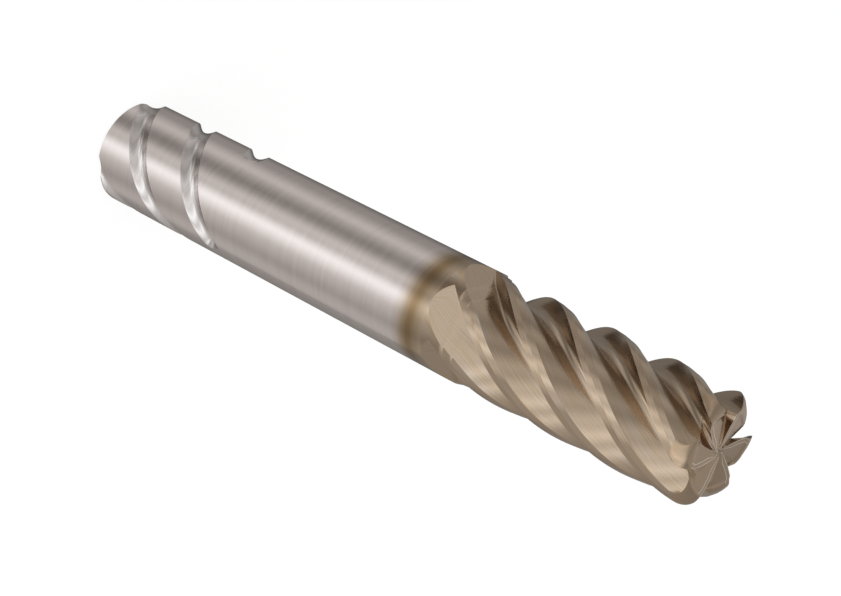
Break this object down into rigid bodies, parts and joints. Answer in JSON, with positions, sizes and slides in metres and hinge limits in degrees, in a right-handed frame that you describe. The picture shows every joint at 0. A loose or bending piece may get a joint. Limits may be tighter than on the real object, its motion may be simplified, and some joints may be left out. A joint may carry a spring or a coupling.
{
  "type": "endmill",
  "caption": "Solid end mill: plain ground shank with helical drive grooves, and a coated cutting end with right-hand helical flutes, relieved lands, rounded corners and gashed end teeth.",
  "frame": {"origin": "centre of the shank's flat end face", "axes": "+Z along the tool's axis, from the shank's end face to the end teeth; +X towards one cutting edge at the end-tooth plane"},
  "size_m": [0.0254, 0.0254, 0.1778],
  "materials": {
    "endmill": "ground bare metal on the shank, thin bronze-tan coating on the cutting end"
  },
  "bodies": {
    "root": {"endmill": "endmill"}
  },
  "joints": []
}
